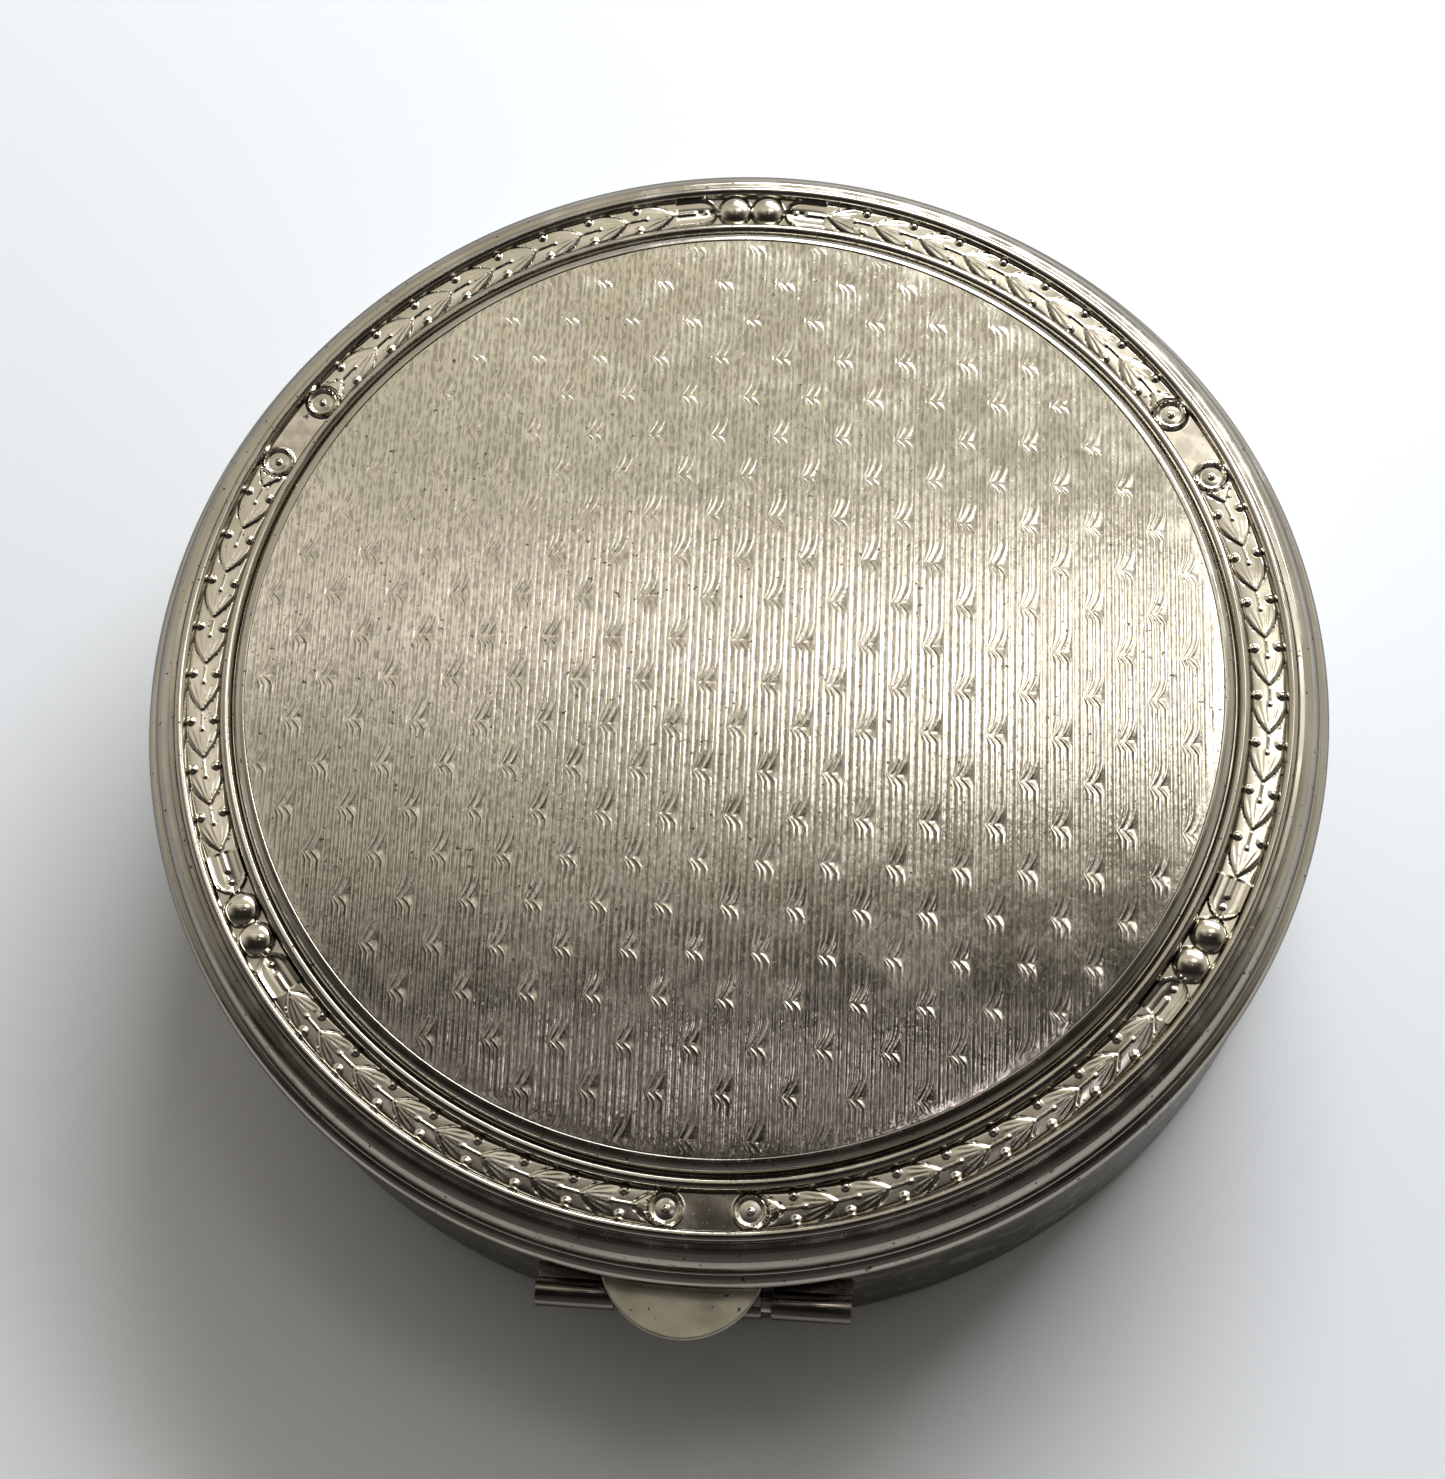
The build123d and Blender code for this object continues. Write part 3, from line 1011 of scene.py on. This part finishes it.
@dataclass
class LidLiner:
    """Flat disc pressed into the underside of the lid."""

    radius: float = 23.28
    low: float = 11.9
    high: float = 12.19

    def build(self) -> None:
        """Makes the liner."""
        section = line((0, self.low), (self.radius, self.low), (self.radius, self.high), (0, self.high))
        rounded = soften(section, 0.09, 3)
        rounded[:, 0] = np.where(rounded[:, 0] < 1, 0, rounded[:, 0])
        piece("lid_liner_disc", turned_skin(rounded, 192), CUP_NICKEL, "lid", "lid_liner")


@dataclass
class BasePan:
    """Plain pressed base, with a notch in its top edge for the hinge and one for the lever."""

    radius: float = 24.8
    sheet: float = 0.4
    height: float = 10.05
    corner: float = 0.9
    hinge_notch: tuple[float, float, float] = (-2.2, 2.2, 7.68)
    lever_notch: tuple[float, float, float] = (-4.0, 3.1, 8.15)

    def notch_angles(self) -> tuple[np.ndarray, np.ndarray]:
        """Places round the wall: evenly spread, and six close together at each side of a notch.

        Returns:
            Angles in radians, and the wall's height at each.
        """
        even = np.linspace(0, 2 * np.pi, 320, endpoint=False)
        rear = np.arccos(np.array(self.hinge_notch[1::-1]) / self.radius)
        front = 2 * np.pi - np.arccos(np.array(self.lever_notch[:2]) / self.radius)
        sides = np.concatenate([rear, front])
        steps = np.array([-0.012, -0.004, 0.0, 0.0006, 0.005, 0.013])
        close = np.concatenate([sides[[0, 2]][:, None] + steps, sides[[1, 3]][:, None] - steps])
        angle = np.sort(np.concatenate([even, close.ravel()]))
        x, y = self.radius * np.cos(angle), self.radius * np.sin(angle)
        top = np.full(len(angle), self.height)
        in_rear = (y > 0) & (x > self.hinge_notch[0]) & (x < self.hinge_notch[1])
        in_front = (y < 0) & (x > self.lever_notch[0]) & (x < self.lever_notch[1])
        top[in_rear] = self.hinge_notch[2]
        top[in_front] = self.lever_notch[2]
        return angle, top

    def skin(self) -> Skin:
        """Section of floor, corner and wall carried round, with the top edge let down in the notches.

        Returns:
            The closed skin.
        """
        c, r, s = self.corner, self.radius, self.sheet
        tip = 0.06
        section = np.concatenate([
            line((0, 0), (r - c - 1.0, 0)),
            sweep((r - c, c), c, -90, 0, 8),
            line((r, c + 0.5), (r, 5.0), (r, 7.5)),
            line((r, self.height - 3 * tip), (r, self.height - tip)),
            line((r - 0.3 * tip, self.height - 0.3 * tip)),
            line((r - tip, self.height), (r - s + tip, self.height)),
            line((r - s, self.height - tip), (r - s, 7.5), (r - s, 5.0), (r - s, c + 0.3)),
            sweep((r - c, c), c - s, 0, -90, 5),
            line((r - c - 1.0, s), (0, s)),
        ])
        moved = (section[:, 1] > 8.5)[None, :]
        angle, top = self.notch_angles()
        drop = (top - self.height)[:, None] * moved
        a = angle[:, None]
        radius = section[None, :, 0]
        grid = np.stack([radius * np.cos(a), radius * np.sin(a), section[None, :, 1] + drop], axis=-1)
        return Skin.from_grid(grid, close_rows=True)

    def build(self) -> None:
        """Makes the pan."""
        piece("base_pan_shell", self.skin(), PAN_NICKEL, "base", "base_pan")


@dataclass
class InnerCup:
    """Cup that holds the pills, with a shoulder and a neck whose bead the lid snaps over."""

    radius: float = 24.38
    floor: float = 0.41
    neck: float = 23.95
    wall: float = 0.35

    def section(self) -> np.ndarray:
        """Closed section, from the middle of the floor up the outside and down the inside.

        Returns:
            Points in r and z.
        """
        r, n, w = self.radius, self.neck, self.wall
        return np.concatenate([
            line((0, self.floor), (r - 1.6, self.floor)),
            sweep((r - 0.6, self.floor + 0.6), 0.6, -90, 0, 5),
            line((r, 4.0), (r, 8.12), (n, 8.57), (n, 10.74)),
            arc((n, 10.78), (n + 0.12, 11.0), (n, 11.22), 5),
            line((n, 11.48), (n - w, 11.48), (n - w, 8.2), (r - w, 7.75), (r - w, 4.0)),
            sweep((r - w - 0.6, self.floor + w + 0.6), 0.6, 0, -90, 5),
            line((r - 2.2, self.floor + w), (0, self.floor + w)),
        ])

    def build(self) -> None:
        """Makes the cup."""
        rounded = soften(self.section(), 0.08)
        rounded[:, 0] = np.where(rounded[:, 0] < 1, 0, rounded[:, 0])
        piece("inner_cup_shell", turned_skin(rounded, 256), CUP_NICKEL, "base", "inner_cup")


class Side(Enum):
    """Side of the box that hardware stands on, as the sign of y."""

    REAR = 1
    FRONT = -1


@dataclass
class KnuckleBracket:
    """Strip on the base wall whose upper edge is rolled into two knuckles round a wire pin."""

    name: str
    side: Side
    pin_y: float
    pin_z: float
    bracket_node: str
    pin_node: str
    wall: float = 24.8
    sheet: float = 0.25
    strip: float = 0.35
    half: float = 6.35
    gap_half: float = 3.15
    knuckle: float = 0.58
    wire: float = 0.30
    drop: float = 3.4
    middle_gap: float = 0.27

    def strip_skin(self) -> Skin:
        """Strip that follows the wall: a rounded rectangle at each x, at y = sqrt(r^2 - x^2).

        Its top stands at the web between the knuckles' roots, and lower in the open middle.

        Returns:
            The closed skin.
        """
        low, root = self.pin_z - self.drop, self.pin_z - self.knuckle
        open_top = root - self.middle_gap
        x = np.concatenate([
            softened_run(-self.half, -self.gap_half, 0.09)[:-2],
            [-self.gap_half - 0.01, -self.gap_half + 0.01],
            np.linspace(-self.gap_half + 0.1, self.gap_half - 0.1, 15),
            [self.gap_half - 0.01, self.gap_half + 0.01],
            softened_run(self.gap_half, self.half, 0.09)[2:],
        ])
        top = np.where(np.abs(x) < self.gap_half, open_top, root + 0.9 * self.strip)
        u = np.array([0.02, 0.0, 0.0, 0.0, 0.0, 0.02, 0.98, 1.0, 1.0, 1.0, 1.0, 0.98])
        v = np.array([0.0, 0.02, 0.06, 0.94, 0.98, 1.0, 1.0, 0.98, 0.94, 0.06, 0.02, 0.0])
        radius = self.wall - 0.02 + (self.strip + 0.02) * u
        y = np.sqrt(radius[None, :] ** 2 - x[:, None] ** 2)
        z = low + (top[:, None] - low) * v[None, :]
        sections = np.stack([x[:, None] + 0 * y, y, z], axis=-1)
        return drawn_skin(sections)

    def knuckle_skin(self, start: float, end: float) -> Skin:
        """Rolled knuckle: a web from the wall to under the pin, then a turn of sheet round the pin.

        The sheet's outer side runs along the web's floor and round a circle of the knuckle's
        radius from -90 to 205 degrees, and its inner side comes back one sheet nearer the pin.

        Args:
            start: lower end along x.
            end: upper end along x.

        Returns:
            The closed skin.
        """
        centre = (abs(self.pin_y), self.pin_z)
        outer = sweep(centre, self.knuckle, -90, 205, 26)
        inner = sweep(centre, self.knuckle - self.sheet, 205, -90, 26)
        x = softened_run(start, end)
        root = np.sqrt((self.wall + 0.1) ** 2 - x**2)[:, None]
        low = np.stack([root, np.full_like(root, self.pin_z - self.knuckle)], axis=-1)
        high = np.stack([root, np.full_like(root, self.pin_z - self.knuckle + self.sheet)], axis=-1)
        loop = np.concatenate([outer, inner])
        sections = np.concatenate([low, np.broadcast_to(loop, (len(x),) + loop.shape), high], axis=1)
        across = np.broadcast_to(x[:, None, None], sections.shape[:2] + (1,))
        return drawn_skin(np.concatenate([across, sections], axis=-1))

    def pin_skin(self) -> Skin:
        """Wire pin with rounded ends: its radius falls off over the last 0.08 mm.

        Returns:
            The closed skin.
        """
        end = self.half
        x = np.array([-end, -end, -end + 0.02, -end + 0.08, 0, end - 0.08, end - 0.02, end, end])
        r = np.array([0.0, 0.72, 0.9, 1.0, 1.0, 1.0, 0.9, 0.72, 0.0]) * self.wire
        angle = np.linspace(0, 2 * np.pi, 32, endpoint=False)[None, :]
        y = abs(self.pin_y) + r[:, None] * np.cos(angle)
        z = self.pin_z + r[:, None] * np.sin(angle)
        return Skin.from_grid(np.stack([x[:, None] + 0 * y, y, z], axis=-1), close_rows=False)

    def build(self) -> None:
        """Makes the strip, the two outer knuckles and the pin."""
        side, node = self.side.value, self.bracket_node
        ends = (("left", -self.half, -self.gap_half), ("right", self.gap_half, self.half))
        piece(f"{self.name}_strip", self.strip_skin().mirrored(side), HARDWARE_NICKEL, "base", node)
        for word, low, high in ends:
            skin = self.knuckle_skin(low, high).mirrored(side)
            piece(f"{self.name}_{word}_knuckle", skin, HARDWARE_NICKEL, "base", node)
        piece(f"{self.name}_pin", self.pin_skin().mirrored(side), PIN_STEEL, "base", self.pin_node)


@dataclass
class LidHingeLeaf:
    """Leaf under the lid's rim, bent down behind the base wall and rolled into the middle knuckle."""

    pin_y: float = 25.35
    pin_z: float = 8.5
    half: float = 1.9
    knuckle: float = 0.55
    sheet: float = 0.21
    inner_end: float = 24.2
    top: float = 10.3
    bend: float = 0.06

    def skin(self) -> Skin:
        """Plate on the rim's underside, a bend down, and a turn of sheet under and round the pin.

        Both sides of the sheet bend about one centre, and roll about the pin from 180 to 490
        degrees, one sheet apart.

        Returns:
            The closed skin.
        """
        pin = (self.pin_y, self.pin_z)
        wall = self.pin_y - self.knuckle
        corner = (wall - self.bend, self.top - self.sheet - self.bend)
        loop = np.concatenate([
            line((self.inner_end, self.top - self.sheet)),
            sweep(corner, self.bend, 90, 0, 6),
            sweep(pin, self.knuckle, 180, 490, 26),
            sweep(pin, self.knuckle - self.sheet, 490, 180, 26),
            sweep(corner, self.bend + self.sheet, 0, 90, 6),
            line((self.inner_end, self.top)),
        ])
        x = softened_run(-self.half, self.half)
        sections = np.broadcast_to(loop, (len(x),) + loop.shape)
        across = np.broadcast_to(x[:, None, None], sections.shape[:2] + (1,))
        return drawn_skin(np.concatenate([across, sections], axis=-1))

    def build(self) -> None:
        """Makes the leaf."""
        piece("lid_leaf", self.skin(), HARDWARE_NICKEL, "lid", "lid_hinge_leaf")


@dataclass
class ThumbLever:
    """Rounded thumb tab on a rolled barrel, which turns on the front pin."""

    pin_y: float = -25.25
    pin_z: float = 9.0
    barrel_x: float = -0.15
    barrel_half: float = 2.9
    barrel_radius: float = 0.58
    bore: float = 0.33
    tab_x: float = -0.45
    tab_radius: float = 3.4
    tab_tip: float = -26.95
    arm_end: float = -24.2
    tab_floor: float = 9.68
    tab_top: float = 9.98
    neck_half: float = 0.27
    neck_floor: float = 9.45
    neck_top: float = 9.72

    def outline(self) -> np.ndarray:
        """Tab: the part of a circle in front of a straight inner end.

        Returns:
            Points of the closed outline, in x and y.
        """
        centre_y = self.tab_tip + self.tab_radius
        half_turn = math.degrees(math.asin((self.arm_end - centre_y) / self.tab_radius))
        curve = sweep((self.tab_x, centre_y), self.tab_radius, -180 - half_turn, half_turn, 64)
        half = curve[-1, 0] - self.tab_x
        inner = np.linspace(half, -half, 13)[1:-1] + self.tab_x
        return np.concatenate([curve, np.stack([inner, np.full_like(inner, self.arm_end)], axis=1)])

    def neck(self) -> Skin:
        """Short block that joins the tab to its barrel: a rounded section carried along x.

        Returns:
            The closed skin.
        """
        front, rear = self.pin_y - self.neck_half, self.pin_y + self.neck_half
        low, high = self.neck_floor, self.neck_top
        block = soften(line((front, low), (rear, low), (rear, high), (front, high)), 0.05)
        x = np.array([-1.0, 1.0]) * (self.barrel_half - 0.05) + self.barrel_x
        ring = np.broadcast_to(block, (2,) + block.shape)
        across = np.broadcast_to(x[:, None, None], ring.shape[:2] + (1,))
        rings = np.concatenate([across, ring], axis=-1)
        ends = rings.mean(axis=1, keepdims=True) + 0 * rings
        return Skin.from_grid(np.concatenate([ends[:1], rings, ends[1:]]), close_rows=False)

    def build(self) -> None:
        """Makes the tab, its neck and its barrel."""
        tab = plate_skin(self.outline(), self.tab_floor, self.tab_top, 0.07)
        piece("thumb_tab", tab, LEVER_METAL, "lever", "thumb_lever")
        low, high = self.barrel_x - self.barrel_half, self.barrel_x + self.barrel_half
        barrel = tube_skin(self.pin_y, self.pin_z, self.barrel_radius, self.bore, low, high)
        stem = Skin.joined([barrel, self.neck()])
        piece("thumb_lever_barrel", stem, HARDWARE_NICKEL, "lever", "thumb_lever")


# ---------------------------------------------------------------- studio


@dataclass
class Studio:
    """Pale floor, soft light and the camera."""

    target: Triple = (-0.22, -2.47, 12.05)
    azimuth: float = 12.03
    elevation: float = 70.13
    distance: float = 115.43
    roll: float = -8.65
    lens: float = 67.29
    floor_half: float = 1.5
    floor_colour: Triple = (0.78, 0.80, 0.84)
    window_place: Triple = (95.0, 240.0, 190.0)
    window_size: Point = (260.0, 100.0)
    window_power: float = 1.35
    window_colour: Triple = (0.94, 0.97, 1.0)

    def camera(self) -> None:
        """Camera round the target: azimuth from the front towards +X, then elevation, then roll.

        The way from the target to the camera is (sin a cos e, -cos a cos e, sin e).
        """
        a, e, turn = (math.radians(v) for v in (self.azimuth, self.elevation, self.roll))
        away = Vector((math.sin(a) * math.cos(e), -math.cos(a) * math.cos(e), math.sin(e)))
        right = Vector((math.cos(a), math.sin(a), 0))
        up = away.cross(right)
        across = right * math.cos(turn) + up * math.sin(turn)
        upward = up * math.cos(turn) - right * math.sin(turn)
        data = bpy.data.cameras.new("camera")
        data.lens = self.lens
        data.sensor_width = 36
        data.clip_start = 0.005
        camera = bpy.data.objects.new("camera", data)
        bpy.context.scene.collection.objects.link(camera)
        place = Matrix((across, upward, away)).transposed().to_4x4()
        place.translation = (Vector(self.target) + away * self.distance) * MM
        camera.matrix_world = place
        bpy.context.scene.camera = camera

    def floor(self) -> None:
        """Flat pale floor under the box."""
        half = self.floor_half
        mesh = bpy.data.meshes.new("floor")
        corners = [(-half, -half, 0), (half, -half, 0), (half, half, 0), (-half, half, 0)]
        mesh.from_pydata(corners, [], [(0, 1, 2, 3)])
        floor = bpy.data.objects.new("floor", mesh)
        bpy.context.scene.collection.objects.link(floor)
        paper = bpy.data.materials.new("floor_paper")
        paper.use_nodes = True
        shader = paper.node_tree.nodes["Principled BSDF"]
        shader.inputs["Base Color"].default_value = (*self.floor_colour, 1)
        shader.inputs["Roughness"].default_value = 0.6
        mesh.materials.append(paper)

    def window(self) -> None:
        """Rectangular soft lamp behind the box, which points at it."""
        data = bpy.data.lights.new("window", "AREA")
        data.shape = "RECTANGLE"
        data.size, data.size_y = (side * MM for side in self.window_size)
        data.energy = self.window_power
        data.color = self.window_colour
        lamp = bpy.data.objects.new("window", data)
        bpy.context.scene.collection.objects.link(lamp)
        place = Vector(self.window_place)
        aim = (place - Vector((0, 0, 10))).to_track_quat("Z", "Y")
        lamp.matrix_world = Matrix.Translation(place * MM) @ aim.to_matrix().to_4x4()

    def build(self) -> None:
        """Sets up the camera, the floor and the light."""
        bpy.context.scene.view_settings.view_transform = "Standard"
        self.camera()
        self.floor()
        Surroundings().build()
        self.window()


@dataclass(frozen=True)
class Glow:
    """Soft bright patch of the surroundings: its place, its reach, and the light it adds."""

    u: float
    v: float
    reach_u: float
    reach_v: float
    light: Triple


@dataclass
class Surroundings:
    """Soft light from all round, as a function of direction.

    A direction (x, y, z) is read as u = x / (1 + z) and v = y / (1 + z), so that straight up is
    the origin and the horizon is the unit circle. Bands follow each other along v, from the dark
    front to the pale rear, and fade into the light of the side walls where |u| is large and v is
    not at the front. Glows are added as 1 - smoothstep of the squared distance.
    """

    backdrop: Triple = (0.86, 0.86, 0.87)
    walls: Triple = (0.80, 0.77, 0.67)
    bands: tuple[tuple[float, Triple], ...] = (
        (-1.00, (0.16, 0.15, 0.15)),
        (-0.55, (0.11, 0.105, 0.10)),
        (-0.30, (0.02, 0.016, 0.015)),
        (0.010, (0.03, 0.026, 0.024)),
        (0.045, (0.16, 0.14, 0.125)),
        (0.064, (0.015, 0.013, 0.012)),
        (0.080, (0.035, 0.032, 0.030)),
        (0.100, (0.17, 0.155, 0.13)),
        (0.120, (0.28, 0.26, 0.215)),
        (0.150, (0.39, 0.365, 0.31)),
        (0.180, (0.55, 0.52, 0.46)),
        (0.215, (0.78, 0.73, 0.64)),
        (0.250, (0.74, 0.70, 0.60)),
        (0.300, (0.82, 0.77, 0.63)),
        (0.380, (0.80, 0.75, 0.60)),
        (0.600, (0.52, 0.50, 0.45)),
        (1.000, (0.85, 0.85, 0.86)),
    )
    glows: tuple[Glow, ...] = (
        Glow(0.10, 0.19, 0.12, 0.060, (3.4, 3.3, 3.1)),
        Glow(-0.15, 0.20, 0.15, 0.035, (0.65, 0.58, 0.55)),
        Glow(0.045, 0.052, 0.028, 0.015, (4.0, 3.7, 3.9)),
        Glow(-0.09, 0.05, 0.06, 0.020, (0.6, 0.55, 0.55)),
        Glow(-0.15, 0.12, 0.12, 0.065, (0.42, 0.39, 0.34)),
    )

    def build(self) -> None:
        """Builds the world's nodes."""
        world = bpy.data.worlds.new("soft_surroundings")
        bpy.context.scene.world = world
        world.use_nodes = True
        nodes = Nodes(world.node_tree)
        nodes.tree.nodes.clear()
        parts = nodes.tree.nodes.new("ShaderNodeSeparateXYZ")
        direction = nodes.tree.nodes.new("ShaderNodeTexCoord").outputs["Generated"]
        nodes.feed(direction, parts.inputs[0])
        above = nodes.number("ADD", parts.outputs[2], 1.0001)
        u = nodes.number("DIVIDE", parts.outputs[0], above)
        v = nodes.number("DIVIDE", parts.outputs[1], above)
        aside = nodes.ramp(nodes.number("ABSOLUTE", u), 0.25, 0.75)
        wall = nodes.number("MULTIPLY", aside, nodes.ramp(v, -0.30, 0.10))
        light = nodes.mixed(wall, self.banded(nodes, v), (*self.walls, 1))
        for glow in self.glows:
            light = nodes.mixed(self.patch(nodes, u, v, glow), light, (*glow.light, 1), "ADD")
        lit = nodes.tree.nodes.new("ShaderNodeBackground")
        nodes.feed(light, lit.inputs["Color"])
        plain = nodes.tree.nodes.new("ShaderNodeBackground")
        nodes.feed((*self.backdrop, 1), plain.inputs["Color"])
        seen = nodes.tree.nodes.new("ShaderNodeLightPath").outputs["Is Camera Ray"]
        chosen = nodes.tree.nodes.new("ShaderNodeMixShader")
        for socket, source in zip(chosen.inputs, (seen, lit.outputs[0], plain.outputs[0])):
            nodes.feed(source, socket)
        out = nodes.tree.nodes.new("ShaderNodeOutputWorld")
        nodes.feed(chosen.outputs[0], out.inputs[0])

    def banded(self, nodes: Nodes, v: Socket) -> Socket:
        """Colour ramp across v, from -1 at its start to 1 at its end.

        Args:
            nodes: the world's nodes.
            v: the direction's v.

        Returns:
            Colour of the light.
        """
        ramp = nodes.tree.nodes.new("ShaderNodeValToRGB")
        nodes.feed(nodes.number("MULTIPLY_ADD", v, 0.5, 0.5), ramp.inputs[0])
        stops = ramp.color_ramp.elements
        stops[0].color = (*self.bands[0][1], 1)
        stops[1].color = (*self.bands[-1][1], 1)
        for place, colour in self.bands[1:-1]:
            stops.new(0.5 + 0.5 * place).color = (*colour, 1)
        return ramp.outputs[0]

    def patch(self, nodes: Nodes, u: Socket, v: Socket, glow: Glow) -> Socket:
        """Share of a glow's light: 1 at its place, 0 beyond its reach.

        Args:
            nodes: the world's nodes.
            u: the direction's u.
            v: the direction's v.
            glow: the glow.

        Returns:
            The share.
        """
        across = nodes.number("MULTIPLY_ADD", u, 1 / glow.reach_u, -glow.u / glow.reach_u)
        along = nodes.number("MULTIPLY_ADD", v, 1 / glow.reach_v, -glow.v / glow.reach_v)
        square = nodes.number("MULTIPLY_ADD", across, across, nodes.number("MULTIPLY", along, along))
        return nodes.ramp(square, 1.0, 0.0)


def main() -> None:
    """Builds the studio and every sub-assembly."""
    logging.basicConfig(level=logging.INFO, format="%(name)s %(message)s")
    Studio().build()
    for part in (
        EngineTurnedPanel(),
        LaurelBorder(),
        LidRim(),
        LidLiner(),
        BasePan(),
        InnerCup(),
        KnuckleBracket(
            "hinge", Side.REAR, 25.35, 8.5, "base_hinge_leaf", "hinge_pin",
            half=4.4, gap_half=2.2, knuckle=0.55,
        ),
        KnuckleBracket("lever_mount", Side.FRONT, -25.25, 9.0, "lever_bracket", "lever_pin"),
        LidHingeLeaf(),
        ThumbLever(),
    ):
        part.build()


if __name__ == "__main__":
    main()
